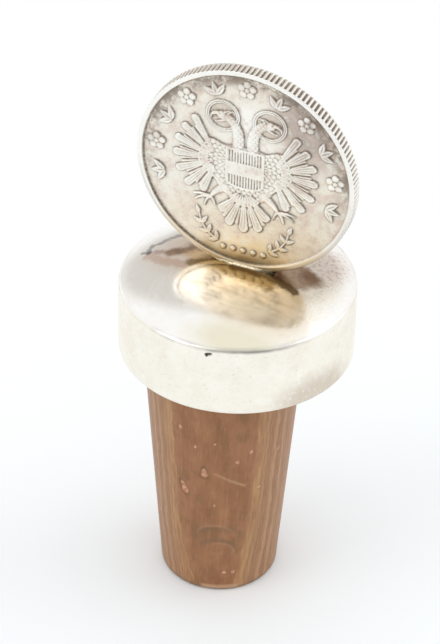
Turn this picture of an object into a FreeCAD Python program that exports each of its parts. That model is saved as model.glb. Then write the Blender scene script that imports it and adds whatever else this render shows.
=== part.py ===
import FreeCAD, Part
import math
import os

# A bottle stopper: a silver coin stands on edge on a hollow silver cap, which is screwed to a tapered plug.
# Millimetres, +Z up. The origin is the centre of the plug's foot, and the plug's axis is Z.
# The coin lies in the XZ plane, and its front looks towards -Y.
V = FreeCAD.Vector

# Plug, turned and tapered, with a blind bore for the fixing screw
plug_length = 36.6
plug_top_radius = 10.5
plug_foot_radius = 7.7
plug_foot_bevel = 0.4

# Cap: a band with a domed top above and a base plate below, its axis a little to the side of the plug's
cap_offset = 1.74
cap_radius = 15.2
band_height = 9.8
band_wall = 1.0
band_edge_round = 0.3
dome_rise = 3.1
dome_power = 2.62
dome_curve_steps = 6
dome_sheet = 0.7
plate_thickness = 0.9

# Screw that holds the plug to the base plate
screw_radius = 1.9
screw_length = 20.0
screw_tip_length = 3.5
screw_hole_clearance = 0.1
screw_head_radius = 3.5
screw_head_height = 1.5
screw_slot_width = 0.9
screw_slot_depth = 0.7
bore_spare_depth = 1.0

# Coin, soldered upright into a shallow slot in the dome
coin_offset = 0.84
coin_radius = 14.5
coin_thickness = 1.9
coin_rim_width = 0.75
coin_rim_height = 0.2
coin_seat_depth = 0.35
reed_count = 140
reed_depth = 0.2
reed_share = 0.5

# Solder around the coin's foot: its reach past the coin's faces and past the seam, and a lump at the right end
solder_leg = 0.45
solder_overrun = 0.2
solder_height = 0.48
solder_lump_radius = 0.6

# Relief heights above the field, and how deep each figure is rooted in it
relief_root = 0.1
leaf_root_share = 0.45
feather_height = 0.15
covert_height = 0.18
breast_height = 0.12
shield_height = 0.16
hatch_height = 0.2
head_height = 0.19
ring_height = 0.12
ornament_height = 0.15

# Relief layout on the front, in millimetres on a coin whose field radius is this
layout_field_radius = 13.75
wing_root = (3.6, 1.0)
wing_feather_count = 7
wing_first_angle = 121.0
wing_last_angle = 248.5
wing_feather_reach = 6.1
wing_feather_start = 2.5
wing_feather_width = 1.15
covert_counts = (6, 5)
covert_reaches = (3.0, 2.1)
covert_length = 1.4
covert_width = 1.15
tail_root = (0.0, -3.0)
tail_feather_count = 5
tail_first_angle = 227.5
tail_last_angle = 312.5
tail_middle_reach = 6.1
tail_outer_reach = 4.8
tail_feather_start = 1.6
tail_feather_width = 1.25
tail_shortening_power = 3
breast_side = ((1.2, -4.6), (3.2, -3.4), (4.4, -1.4), (4.9, 1.0), (4.6, 3.4), (3.4, 4.4), (1.4, 3.6))
shield_side = ((0.0, -2.75), (1.7, -2.45), (2.8, -1.9), (2.8, 3.2))
hatch_count = 14
hatch_width = 0.16
hatch_half_width = 2.45
hatch_bands = ((1.35, 2.9), (-1.75, -0.5))
halo_centre = (3.25, 7.6)
halo_radius = 2.2
halo_ring_width = 0.22
head_radius = 0.85
neck_width = 1.45
neck_points = ((0.75, 3.4), (0.85, 4.7), (1.35, 6.2), (2.1, 7.3), (3.05, 7.8))
beak_points = ((3.6, 8.3), (5.2, 7.75), (5.1, 7.2), (4.4, 7.6), (4.7, 6.95), (3.5, 7.0))
thigh_points = ((2.6, -2.9), (4.6, -4.9))
thigh_width = 0.9
claw_points = ((6.7, -4.9), (6.4, -5.7), (5.3, -6.3))
claw_width = 0.35
border_count = 11
border_radius = 12.0
border_step_angle = 20.7
rosette_petals = 5
rosette_petal_radius = 0.42
rosette_ring_radius = 0.68
sprig_leaf_length = 1.5
sprig_leaf_width = 0.6
sprig_leaf_spread = 48.0
sprig_root_drop = 0.75
branch_points = ((3.5, -11.2), (4.7, -10.4), (5.6, -9.2), (6.0, -7.9))
branch_width = 0.3
branch_leaf_length = 1.35
branch_leaf_width = 0.55
branch_leaf_spread = 48.0
pellet_count = 5
pellet_radius = 0.38
pellet_spacing = 1.35
pellet_row_y = -12.0
figure_facets = 12
leaf_tip_facets = 4

# Places worked out from the sizes above
band_foot_z = plug_length
shoulder_z = band_foot_z + band_height
crown_z = shoulder_z + dome_rise
band_inner_radius = cap_radius - band_wall
coin_x = cap_offset + coin_offset
coin_z = crown_z - coin_seat_depth + coin_radius
coin_field_radius = coin_radius - coin_rim_width
coin_field_half = coin_thickness / 2 - coin_rim_height
layout_scale = coin_field_radius / layout_field_radius
screw_hole_radius = screw_radius + screw_hole_clearance
seam_half_length = math.sqrt(coin_radius ** 2 - (coin_radius - coin_seat_depth) ** 2)


def revolve(edges, axis_x):
    """Turn a closed outline, drawn in the XZ plane, about the vertical line at axis_x."""
    face = Part.Face(Part.Wire(edges))
    return face.revolve(V(axis_x, 0, 0), V(0, 0, 1), 360)


def outline(points):
    """Straight edges through the points and back to the first."""
    closed = [V(*point) for point in points] + [V(*points[0])]
    return [Part.LineSegment(a, b).toShape() for a, b in zip(closed, closed[1:])]


def dome_curve(drop):
    """The dome's line from the axis outwards to where it meets the shoulder's height, lowered by drop.

    Height falls as rise * (1 - (s / radius) ** power), s being the distance from the cap's axis.
    """
    reach = cap_radius * (1 - drop / dome_rise) ** (1 / dome_power)
    steps = dome_curve_steps
    places = [reach * math.sin(math.pi / 2 * k / steps) for k in range(steps + 1)]
    points = [
        V(cap_offset + s, 0, shoulder_z + dome_rise * (1 - (s / cap_radius) ** dome_power) - drop)
        for s in places
    ]
    curve = Part.BSplineCurve()
    curve.interpolate(points)
    return curve.toShape(), points[0], points[-1]


def dome_body(drop):
    """The solid under the dome's line, down to the shoulder."""
    curve, top, rim = dome_curve(drop)
    middle = V(cap_offset, 0, shoulder_z)
    edges = [curve, Part.LineSegment(rim, middle).toShape(), Part.LineSegment(middle, top).toShape()]
    return revolve(edges, cap_offset)


def coin_envelope():
    """The plain disc that the coin fills, used to cut its slot."""
    base = V(coin_x, -coin_thickness / 2, coin_z)
    return Part.makeCylinder(coin_radius, coin_thickness, base, V(0, 1, 0))


def make_plug():
    taper = (plug_top_radius - plug_foot_radius) / plug_length
    bevel_radius = plug_foot_radius + taper * plug_foot_bevel
    edges = outline([
        (0, 0, 0),
        (bevel_radius - plug_foot_bevel, 0, 0),
        (bevel_radius, 0, plug_foot_bevel),
        (plug_top_radius, 0, plug_length),
        (0, 0, plug_length),
    ])
    return revolve(edges, 0).cut(screw_shank(bore_spare_depth))


def screw_shank(spare):
    """The screw's pointed shank below the plug's top, made longer by spare for the bore."""
    shoulder = band_foot_z - screw_length + screw_tip_length
    edges = outline([
        (0, 0, shoulder - screw_tip_length - spare),
        (screw_radius, 0, shoulder - spare),
        (screw_radius, 0, band_foot_z),
        (0, 0, band_foot_z),
    ])
    return revolve(edges, 0)


def make_fixing_screw():
    neck = Part.makeCylinder(screw_radius, plate_thickness, V(0, 0, band_foot_z))
    seat = band_foot_z + plate_thickness
    head = Part.makeCylinder(screw_head_radius, screw_head_height, V(0, 0, seat))
    slot_length = 2 * screw_head_radius
    slot_foot = V(-slot_length / 2, -screw_slot_width / 2, seat + screw_head_height - screw_slot_depth)
    slot = Part.makeBox(slot_length, screw_slot_width, screw_slot_depth, slot_foot)
    return screw_shank(0).fuse([neck, head]).removeSplitter().cut(slot)


def make_base_plate():
    disc = Part.makeCylinder(band_inner_radius, plate_thickness, V(cap_offset, 0, band_foot_z))
    hole = Part.makeCylinder(screw_hole_radius, plate_thickness, V(0, 0, band_foot_z))
    return disc.cut(hole)


def make_cap_band():
    """A ring, its lower outer edge rounded."""
    inner = cap_offset + band_inner_radius
    outer = cap_offset + cap_radius
    r = band_edge_round
    bend = r * (1 - math.sqrt(0.5))
    foot_left = V(inner, 0, band_foot_z)
    foot_right = V(outer - r, 0, band_foot_z)
    side_foot = V(outer, 0, band_foot_z + r)
    top_right = V(outer, 0, shoulder_z)
    top_left = V(inner, 0, shoulder_z)
    edges = [
        Part.LineSegment(foot_left, foot_right).toShape(),
        Part.Arc(foot_right, V(outer - bend, 0, band_foot_z + bend), side_foot).toShape(),
        Part.LineSegment(side_foot, top_right).toShape(),
        Part.LineSegment(top_right, top_left).toShape(),
        Part.LineSegment(top_left, foot_left).toShape(),
    ]
    return revolve(edges, cap_offset)


def make_cap_dome():
    """A domed sheet whose flat rim lands on the band, with the coin's slot in its crown."""
    shell = dome_body(0).cut(dome_body(dome_sheet))
    return shell.cut(coin_envelope())


def make_coin_solder():
    """A flattened bead around the coin's foot, with a lump at its right end.

    The bead is an ellipsoid, as long as it must be to stand out past the coin's faces to the seam's ends.
    """
    coin_half = coin_thickness / 2
    half_width = coin_half + solder_leg
    half_length = seam_half_length / math.sqrt(1 - (coin_half / half_width) ** 2) + solder_overrun
    stretch = FreeCAD.Matrix()
    stretch.scale(half_length, half_width, solder_height)
    bead = Part.makeSphere(1.0).transformGeometry(stretch)
    bead.translate(V(coin_x, 0, crown_z))
    lump_place = V(coin_x + seam_half_length, -coin_half, crown_z)
    lump = Part.makeSphere(solder_lump_radius, lump_place)
    return bead.fuse(lump).cut(dome_body(0)).cut(coin_envelope())


def on_coin(x, y, height):
    """A point of the front's layout, height above the field, before the coin is stood up."""
    return V(x * layout_scale, y * layout_scale, coin_field_half + height)


def polygon_figure(points, height):
    """A prism that stands on the front's field, rooted a little way into it."""
    ring = [on_coin(x, y, -relief_root) for x, y in points]
    face = Part.Face(Part.Wire(outline(ring)))
    return face.extrude(V(0, 0, relief_root + height))


def disc_figure(x, y, radius, height):
    """A small round boss, made with a few flats."""
    turns = [2 * math.pi * k / figure_facets for k in range(figure_facets)]
    return polygon_figure([(x + radius * math.cos(t), y + radius * math.sin(t)) for t in turns], height)


def ring_figure(x, y, radius, width, height):
    """A thin raised circle, its width inside the radius."""
    foot = on_coin(x, y, -relief_root)
    depth = relief_root + height
    outer = Part.makeCylinder(radius * layout_scale, depth, foot)
    return outer.cut(Part.makeCylinder((radius - width) * layout_scale, depth, foot))


def leaf_figure(root, tip, width, height):
    """A feather or leaf: narrow at the root, widest near the tip, and round at its end."""
    length = math.hypot(tip[0] - root[0], tip[1] - root[1])
    along = ((tip[0] - root[0]) / length, (tip[1] - root[1]) / length)
    side = (-along[1], along[0])
    half = width / 2

    def place(distance, offset):
        x = root[0] + along[0] * distance + side[0] * offset
        y = root[1] + along[1] * distance + side[1] * offset
        return x, y

    points = [place(0, -half * leaf_root_share), place(0, half * leaf_root_share)]
    for k in range(leaf_tip_facets + 1):
        turn = math.pi * (0.5 - k / leaf_tip_facets)
        points.append(place(length - half + half * math.cos(turn), half * math.sin(turn)))
    return polygon_figure(points, height)


def fan(root, count, first, last, start, reach, width, height):
    """Leaves that spread from a root point, each reach long, between two angles."""
    figures = []
    for k in range(count):
        angle = math.radians(first + (last - first) * k / (count - 1))
        direction = (math.cos(angle), math.sin(angle))
        near = (root[0] + start * direction[0], root[1] + start * direction[1])
        far = (root[0] + reach(k) * direction[0], root[1] + reach(k) * direction[1])
        figures.append(leaf_figure(near, far, width, height))
    return figures


def mirrored(points, side):
    return [(side * x, y) for x, y in points]


def wing(side):
    """The long feathers of one wing, and shorter rows over their roots. side is 1 right, -1 left."""
    root = (side * wing_root[0], wing_root[1])
    first, last = wing_first_angle, wing_last_angle
    if side > 0:
        first, last = 180 - first, 180 - last
    figures = fan(
        root, wing_feather_count, first, last,
        wing_feather_start, lambda k: wing_feather_reach, wing_feather_width, feather_height,
    )
    for row_reach, count in zip(covert_reaches, covert_counts):
        figures += fan(
            root, count, first, last,
            row_reach - covert_length, lambda k: row_reach, covert_width, covert_height,
        )
    return figures


def tail():
    """Tail feathers, the middle ones longest."""
    middle = (tail_feather_count - 1) / 2

    def reach(k):
        share = (abs(k - middle) / middle) ** tail_shortening_power
        return tail_middle_reach - (tail_middle_reach - tail_outer_reach) * share

    return fan(
        tail_root, tail_feather_count, tail_first_angle, tail_last_angle,
        tail_feather_start, reach, tail_feather_width, feather_height,
    )


def breast():
    """The bird's body behind the shield, between the wings and the tail."""
    return [polygon_figure(list(breast_side) + mirrored(breast_side, -1)[::-1], breast_height)]


def shield():
    """A shield with a pointed foot, and upright hatching above and below a plain middle band."""
    left = mirrored(shield_side[1:], -1)
    figures = [polygon_figure(list(shield_side) + left[::-1], shield_height)]
    for low, high in hatch_bands:
        for k in range(hatch_count):
            x = hatch_half_width * (2 * k / (hatch_count - 1) - 1)
            half = hatch_width / 2
            bar = [(x - half, low), (x + half, low), (x + half, high), (x - half, high)]
            figures.append(polygon_figure(bar, hatch_height))
    return figures


def stroke(points, width, height):
    """A band of even width along straight runs, with round joints and ends."""
    figures = [disc_figure(x, y, width / 2, height) for x, y in points]
    for a, b in zip(points, points[1:]):
        length = math.hypot(b[0] - a[0], b[1] - a[1])
        side_x = -(b[1] - a[1]) / length * width / 2
        side_y = (b[0] - a[0]) / length * width / 2
        corners = [
            (a[0] + side_x, a[1] + side_y),
            (b[0] + side_x, b[1] + side_y),
            (b[0] - side_x, b[1] - side_y),
            (a[0] - side_x, a[1] - side_y),
        ]
        figures.append(polygon_figure(corners, height))
    return figures


def head(side):
    """A bird's head with an open beak, on a neck that rises from the shield, in a ring."""
    centre_x, centre_y = halo_centre
    figures = stroke(mirrored(neck_points, side), neck_width, head_height)
    figures.append(disc_figure(side * centre_x, centre_y, head_radius, head_height))
    figures.append(polygon_figure(mirrored(beak_points, side), head_height))
    figures.append(ring_figure(side * centre_x, centre_y, halo_radius, halo_ring_width, ring_height))
    return figures


def leg(side):
    """A feathered thigh and a foot of three spread claws."""
    ankle = thigh_points[1]
    figures = stroke(mirrored(thigh_points, side), thigh_width, covert_height)
    for tip in claw_points:
        figures += stroke(mirrored([ankle, tip], side), claw_width, feather_height)
    return figures


def rosette(x, y):
    figures = [disc_figure(x, y, rosette_petal_radius, ornament_height)]
    for k in range(rosette_petals):
        angle = 2 * math.pi * k / rosette_petals + math.pi / 2
        petal_x = x + rosette_ring_radius * math.cos(angle)
        petal_y = y + rosette_ring_radius * math.sin(angle)
        figures.append(disc_figure(petal_x, petal_y, rosette_petal_radius, ornament_height))
    return figures


def sprig(x, y, up_angle):
    """Three leaves from one point, the middle one along up_angle."""
    root_x = x - sprig_root_drop * math.cos(math.radians(up_angle))
    root_y = y - sprig_root_drop * math.sin(math.radians(up_angle))
    figures = []
    for turn in (-sprig_leaf_spread, 0, sprig_leaf_spread):
        angle = math.radians(up_angle + turn)
        tip = (root_x + sprig_leaf_length * math.cos(angle), root_y + sprig_leaf_length * math.sin(angle))
        figures.append(leaf_figure((root_x, root_y), tip, sprig_leaf_width, ornament_height))
    return figures


def border_ornaments():
    """Rosettes and sprigs in turn around the upper border."""
    figures = []
    for k in range(border_count):
        degrees = 90 + border_step_angle * (k - (border_count - 1) / 2)
        x = border_radius * math.cos(math.radians(degrees))
        y = border_radius * math.sin(math.radians(degrees))
        if k % 2:
            figures += rosette(x, y)
        else:
            figures += sprig(x, y, degrees)
    return figures


def branch(side):
    """A curved branch beside the tail, with a pair of leaves at each joint and one at its end."""
    points = mirrored(branch_points, side)
    figures = stroke(points, branch_width, ornament_height)
    for a, b in zip(points, points[1:]):
        heading = math.degrees(math.atan2(b[1] - a[1], b[0] - a[0]))
        figures += [branch_leaf(a, heading + turn) for turn in (-branch_leaf_spread, branch_leaf_spread)]
    figures.append(branch_leaf(points[-1], heading))
    return figures


def branch_leaf(root, heading):
    angle = math.radians(heading)
    tip_x = root[0] + branch_leaf_length * math.cos(angle)
    tip_y = root[1] + branch_leaf_length * math.sin(angle)
    return leaf_figure(root, (tip_x, tip_y), branch_leaf_width, ornament_height)


def pellets():
    figures = []
    for k in range(pellet_count):
        x = pellet_spacing * (k - (pellet_count - 1) / 2)
        figures.append(disc_figure(x, pellet_row_y, pellet_radius, ornament_height))
    return figures


def coin_relief():
    """Every figure on the front: a two-headed eagle with a shield, a border and small ornaments."""
    figures = breast() + tail() + shield() + border_ornaments() + pellets()
    for side in (-1, 1):
        figures += wing(side) + head(side) + leg(side) + branch(side)
    return figures


def reeded_blank():
    """A disc whose edge has upright V grooves."""
    step = 2 * math.pi / reed_count
    points = []
    for k in range(reed_count):
        for turn, radius in ((0, coin_radius), (0.5 * reed_share, coin_radius - reed_depth),
                             (reed_share, coin_radius)):
            angle = step * (k + turn)
            points.append((radius * math.cos(angle), radius * math.sin(angle), -coin_thickness / 2))
    face = Part.Face(Part.Wire(outline(points)))
    return face.extrude(V(0, 0, coin_thickness))


def make_coin():
    """A reeded disc with a raised rim on each side and relief on its front, then stood on edge."""
    blank = reeded_blank()
    for foot in (coin_field_half, -coin_thickness / 2):
        recess = Part.makeCylinder(coin_field_radius, coin_rim_height, V(0, 0, foot))
        blank = blank.cut(recess)
    coin = blank.multiFuse(coin_relief()).removeSplitter()
    coin.rotate(V(0, 0, 0), V(1, 0, 0), 90)
    coin.translate(V(coin_x, 0, coin_z))
    return coin


def main():
    makers = {
        "plug": make_plug,
        "fixing_screw": make_fixing_screw,
        "base_plate": make_base_plate,
        "cap_band": make_cap_band,
        "cap_dome": make_cap_dome,
        "coin_solder": make_coin_solder,
        "coin": make_coin,
    }
    os.makedirs("parts", exist_ok=True)
    for name, maker in makers.items():
        shape = maker()
        shape.exportStep("parts/" + name + ".step")
        box = shape.BoundBox
        print(name, "valid", shape.isValid(), "solids", len(shape.Solids), "volume", round(shape.Volume, 3),
              "z", round(box.ZMin, 3), round(box.ZMax, 3), "faces", len(shape.Faces))


main()
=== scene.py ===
import math
from functools import reduce

import bpy
import numpy as np
from mathutils import Matrix, Vector


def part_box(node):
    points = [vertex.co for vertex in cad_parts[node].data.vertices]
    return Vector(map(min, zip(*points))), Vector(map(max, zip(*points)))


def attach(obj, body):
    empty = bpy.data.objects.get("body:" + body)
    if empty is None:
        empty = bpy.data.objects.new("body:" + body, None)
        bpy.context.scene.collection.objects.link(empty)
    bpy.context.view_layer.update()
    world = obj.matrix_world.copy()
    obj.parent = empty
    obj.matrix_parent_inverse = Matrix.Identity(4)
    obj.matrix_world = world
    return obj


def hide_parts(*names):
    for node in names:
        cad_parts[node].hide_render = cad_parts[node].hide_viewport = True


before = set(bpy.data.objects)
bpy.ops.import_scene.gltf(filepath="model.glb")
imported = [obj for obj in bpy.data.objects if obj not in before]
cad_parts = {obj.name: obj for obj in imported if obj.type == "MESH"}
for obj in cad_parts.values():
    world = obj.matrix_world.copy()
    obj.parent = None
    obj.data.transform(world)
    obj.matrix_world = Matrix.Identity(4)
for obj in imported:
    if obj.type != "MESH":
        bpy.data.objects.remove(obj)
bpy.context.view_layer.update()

# A bottle stopper: a reeded silver coin on a domed silver cap, which is screwed to a tapered wooden plug.
# Shapes are worked out in millimetres, +Z up, and turn into metres as they go into a mesh.
MM = 0.001


def node_box(node):
    """A node's lowest and highest corners in millimetres."""
    return [np.array(corner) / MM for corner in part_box(node)]


plug_low, plug_high = node_box("plug")
band_low, band_high = node_box("cap_band")
coin_low, coin_high = node_box("coin")
solder_low, solder_high = node_box("coin_solder")

plug_length = plug_high[2]
plug_top_radius = (plug_high[0] - plug_low[0]) / 2
plug_foot_radius = 7.7
plug_foot_bevel = 0.4
cap_x = (band_low[0] + band_high[0]) / 2
cap_radius = (band_high[0] - band_low[0]) / 2
band_foot = band_low[2]
shoulder = band_high[2]
band_wall = 1.0
crown = node_box("cap_dome")[1][2]
dome_rise = crown - shoulder
dome_power = 2.62
dome_sheet = 0.7
edge_radius = 0.3
coin_x = (coin_low[0] + coin_high[0]) / 2
coin_z = (coin_low[2] + coin_high[2]) / 2
coin_radius = (coin_high[0] - coin_low[0]) / 2
coin_half = (coin_high[1] - coin_low[1]) / 2
screw_tip = node_box("fixing_screw")[0][2]
shank_radius = 1.9

# Half size of an area that runs right through a piece
right_through = 50


# Meshes

def around(count, start=0.0):
    """Even angles once around."""
    return start + 2 * math.pi * np.arange(count) / count


def ring_faces(rows, columns, first=0, closed_rows=False):
    """Quads between neighbouring rings of points, row after row, each ring closed on itself."""
    row = np.arange(rows if closed_rows else rows - 1)[:, None]
    column = np.arange(columns)[None, :]
    here = row * columns
    beyond = (row + 1) % rows * columns
    after = (column + 1) % columns
    corners = (here + column, here + after, beyond + after, beyond + column)
    return first + np.stack(corners, -1).reshape(-1, 4)


def fan_faces(ring, pole):
    """Triangles from a ring of point numbers to one point."""
    return np.stack([ring, np.roll(ring, -1), np.full(len(ring), pole)], -1)


def signed_volume(points, faces):
    """Six times the volume inside closed faces, from the box product of each corner triangle."""
    total = 0.0
    for k in range(1, faces.shape[1] - 1):
        turn = np.cross(points[faces[:, k]], points[faces[:, k + 1]])
        total += np.einsum("ij,ij->", points[faces[:, 0]], turn)
    return total


def add_piece(name, points, face_groups, material, node, marks=None, crease=50.0):
    """Make a closed surface, in millimetres, a smooth piece that stands for a node and rides on the body."""
    if sum(signed_volume(points, faces) for faces in face_groups) < 0:
        face_groups = [faces[:, ::-1] for faces in face_groups]
    sizes = np.concatenate([np.full(len(faces), faces.shape[1]) for faces in face_groups])
    corners = np.concatenate([faces.ravel() for faces in face_groups])
    mesh = bpy.data.meshes.new(name)
    mesh.vertices.add(len(points))
    mesh.vertices.foreach_set("co", (points * MM).astype(np.float32).ravel())
    mesh.loops.add(len(corners))
    mesh.loops.foreach_set("vertex_index", corners.astype(np.int32))
    mesh.polygons.add(len(sizes))
    mesh.polygons.foreach_set("loop_start", (np.cumsum(sizes) - sizes).astype(np.int32))
    mesh.update(calc_edges=True)
    mesh.shade_smooth()
    mesh.set_sharp_from_angle(angle=math.radians(crease))
    for mark, values in (marks or {}).items():
        layer = mesh.attributes.new(mark, "FLOAT", "POINT")
        layer.data.foreach_set("value", values.astype(np.float32))
    mesh.materials.append(material)
    piece = bpy.data.objects.new(name, mesh)
    bpy.context.scene.collection.objects.link(piece)
    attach(piece, "root")
    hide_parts(node)
    return piece


def smooth_step(value, low, high):
    """0 below low, 1 above high, and an S curve between."""
    share = np.clip((value - low) / (high - low), 0.0, 1.0)
    return share * share * (3 - 2 * share)


def rounding(radius, degrees):
    """How far in and how far down a rounded corner is, at angles up from its side."""
    turns = np.radians(degrees)
    return radius * (1 - np.cos(turns)), radius * (1 - np.sin(turns))


def wobble(angle, height, seed, waves=9, pitch=6.0):
    """A gentle unevenness around a turned piece, about -1 to 1: a sum of slanted waves with whole turns."""
    rng = np.random.default_rng(seed)
    total = np.zeros(np.broadcast(angle, height).shape)
    for turns in range(1, waves + 1):
        phase, slant, size = rng.uniform(0, 2 * math.pi), rng.uniform(-1, 1), rng.uniform(0.4, 1.0)
        wave = turns * angle + slant * height * 2 * math.pi / pitch + phase
        total += size * np.sin(wave) / math.sqrt(turns)
    return total / 2.5


# The coin's front, drawn in millimetres from its middle, x to the right and y up

rim_width = 0.75
rim_height = 0.2
field_radius = coin_radius - rim_width
relief_step = 0.025
edge_round = 0.1
barb_pitch = 0.34
shaft_width = 0.07
midrib_width = 0.06
ring_groove_width = 0.08
scale_row_share = 0.6
scale_reach_share = 0.58
reed_count = 140
reed_depth = 0.2
reed_fade = 0.22
groove_share = 0.62
points_per_reed = 8
face_cells = reed_count * points_per_reed // 4
# How far the softened relief is sampled towards the lower left: painted shade on the upper right of raised
# parts, painted highlight on their lower left
near_shading_lean = 0.09
wide_shading_lean = 0.12


class Relief:
    """Heights above the coin's field on an even square grid."""

    def __init__(self):
        count = int(2 * coin_radius / relief_step) + 1
        self.axis = np.linspace(-coin_radius, coin_radius, count)
        self.height = np.zeros((count, count))

    def window(self, points, reach):
        """The grid within reach of some points: its slices, and x and y there."""
        low = np.min(points, axis=0) - reach
        high = np.max(points, axis=0) + reach
        columns = slice(*np.searchsorted(self.axis, (low[0], high[0])))
        rows = slice(*np.searchsorted(self.axis, (low[1], high[1])))
        x, y = np.meshgrid(self.axis[columns], self.axis[rows])
        return (rows, columns), x, y

    def raise_to(self, where, height):
        self.height[where] = np.maximum(self.height[where], height)

    def sample(self, values, x, y):
        """Values of a same-sized grid at any places, weighted between the four nearest points."""
        column = np.clip((x + coin_radius) / relief_step, 0, len(self.axis) - 1.001)
        row = np.clip((y + coin_radius) / relief_step, 0, len(self.axis) - 1.001)
        left, low = column.astype(int), row.astype(int)
        across, up = column - left, row - low
        lower = values[low, left] * (1 - across) + values[low, left + 1] * across
        upper = values[low + 1, left] * (1 - across) + values[low + 1, left + 1] * across
        return lower * (1 - up) + upper * up


def soften(values, reach, times=2):
    """Running means over 2 reach + 1 points along rows, then columns, from cumulative sums."""
    for _ in range(times):
        for axis in (0, 1):
            padded = np.pad(values, [(reach + 1, reach) if k == axis else (0, 0) for k in (0, 1)], "edge")
            sums = np.cumsum(padded, axis)
            span = 2 * reach + 1
            values = (np.take(sums, range(span, sums.shape[axis]), axis)
                      - np.take(sums, range(sums.shape[axis] - span), axis)) / span
    return values


def cushion(depth, bevel):
    """A quarter-round shoulder: 0 at the outline, 1 from bevel inwards."""
    share = np.clip(depth / bevel, 0.0, 1.0)
    return np.sqrt(1 - (1 - share) ** 2)


def mirrored(points, side):
    return np.array(points, float) * (side, 1.0)


def smooth_line(points, count):
    """Points along a Catmull-Rom curve through the given ones."""
    points = np.array(points, float)
    ends = np.vstack([2 * points[0] - points[1], points, 2 * points[-1] - points[-2]])
    place = np.linspace(0, len(points) - 1.0001, count)
    k = place.astype(int)
    t = (place - k)[:, None]
    a, b, c, d = ends[k], ends[k + 1], ends[k + 2], ends[k + 3]
    square, cube = 2 * a - 5 * b + 4 * c - d, 3 * b - a - 3 * c + d
    return 0.5 * (2 * b + (c - a) * t + square * t ** 2 + cube * t ** 3)


def run_distance(x, y, start, end, start_width, end_width):
    """Signed distance to a round-ended run of changing width, the share along it and the offset across."""
    start, end = np.array(start, float), np.array(end, float)
    along = end - start
    length = np.hypot(*along)
    along = along / length
    share = ((x - start[0]) * along[0] + (y - start[1]) * along[1]) / length
    across = (y - start[1]) * along[0] - (x - start[0]) * along[1]
    held = np.clip(share, 0.0, 1.0)
    gap = np.hypot(x - start[0] - held * length * along[0], y - start[1] - held * length * along[1])
    return gap - (start_width + (end_width - start_width) * held) / 2, share, across


def outline_distance(x, y, corners):
    """Signed distance to a closed outline's edge, negative where a ray crosses an odd number of edges."""
    corners = np.array(corners, float)
    nearest = np.full(x.shape, np.inf)
    inside = np.zeros(x.shape, bool)
    for (ax, ay), (bx, by) in zip(corners, np.roll(corners, -1, axis=0)):
        share = ((x - ax) * (bx - ax) + (y - ay) * (by - ay)) / ((bx - ax) ** 2 + (by - ay) ** 2)
        share = np.clip(share, 0.0, 1.0)
        nearest = np.minimum(nearest, np.hypot(x - ax - share * (bx - ax), y - ay - share * (by - ay)))
        if ay != by:
            crosses = ((y < ay) != (y < by)) & (x < ax + (y - ay) / (by - ay) * (bx - ax))
            inside ^= crosses
    return np.where(inside, -nearest, nearest)


def scale_rows(x, y, size):
    """Overlapping round scales whose free edges look towards -y: 0 at a scale's root, 1 at its free edge.

    Of three rows of circles, the upper row that covers a place wins.
    """
    lift = np.zeros(x.shape)
    row_height = scale_row_share * size
    reach = scale_reach_share * size
    row = np.floor(y / row_height)
    for step in (-1, 0, 1):
        centre_y = (row + step + 0.5) * row_height
        shift = 0.5 * np.mod(row + step, 2)
        centre_x = (np.floor(x / size - shift) + shift + 0.5) * size
        gap = np.hypot(x - centre_x, y - centre_y) / reach
        free = 0.5 + 0.5 * (centre_y - y) / reach
        lift = np.where(gap < 1, free * np.sqrt(np.clip(1 - gap ** 4, 0, 1)), lift)
    return lift


def feather(relief, root, tip, width, height, root_share=0.45):
    """A blade, wider towards its round tip, with a raised edge, a hollow web, a shaft and slanted barbs."""
    root, tip = np.array(root, float), np.array(tip, float)
    length = np.hypot(*(tip - root))
    far = root + (tip - root) * (1 - width / 2 / length)
    where, x, y = relief.window([root, tip], width)
    distance, share, across = run_distance(x, y, root, far, width * root_share, width)
    depth = -distance
    web = 1 - 0.3 * smooth_step(depth, 0.12, 0.26)
    shaft = 0.3 * np.exp(-(across / shaft_width) ** 2) * smooth_step(1.0 - share, 0.0, 0.15)
    slant = share * length - 0.9 * np.abs(across)
    barbs = 0.06 * np.sin(slant * 2 * math.pi / barb_pitch) * smooth_step(depth, 0.1, 0.2)
    relief.raise_to(where, height * cushion(depth, 0.13) * (web + shaft + barbs))


def leaf(relief, root, tip, width, height):
    """A pointed oval with a grooved midrib: its half width follows half a sine wave from root to tip."""
    root, tip = np.array(root, float), np.array(tip, float)
    length = np.hypot(*(tip - root))
    where, x, y = relief.window([root, tip], width)
    _, share, across = run_distance(x, y, root, tip, 0.0, 0.0)
    half = width / 2 * np.sin(math.pi * np.clip(share, 0, 1) ** 0.8)
    depth = half - np.abs(across)
    groove = 1 - 0.45 * np.exp(-(across / midrib_width) ** 2)
    relief.raise_to(where, height * cushion(depth, 0.16) * groove * (half > 0) * min(1.0, length))


def stem(relief, points, start_width, end_width, height, texture=0.0, texture_size=0.4):
    """A round-backed line along a smooth curve, its width changing evenly. Texture adds small scales."""
    line = smooth_line(points, 6 * len(points))
    widths = np.linspace(start_width, end_width, len(line))
    where, x, y = relief.window(line, max(start_width, end_width))
    back = np.zeros(x.shape)
    for a, b, wide, narrow in zip(line, line[1:], widths, widths[1:]):
        distance, _, _ = run_distance(x, y, a, b, wide, narrow)
        back = np.maximum(back, cushion(-distance, 0.5 * min(wide, narrow) + 0.01))
    if texture:
        back = back * (1 - texture + texture * scale_rows(x, y, texture_size))
    relief.raise_to(where, height * back)


def boss(relief, x0, y0, radius, height):
    """A round button with a domed top."""
    where, x, y = relief.window([(x0, y0)], radius + 0.1)
    relief.raise_to(where, height * cushion(radius - np.hypot(x - x0, y - y0), 0.7 * radius))


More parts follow.
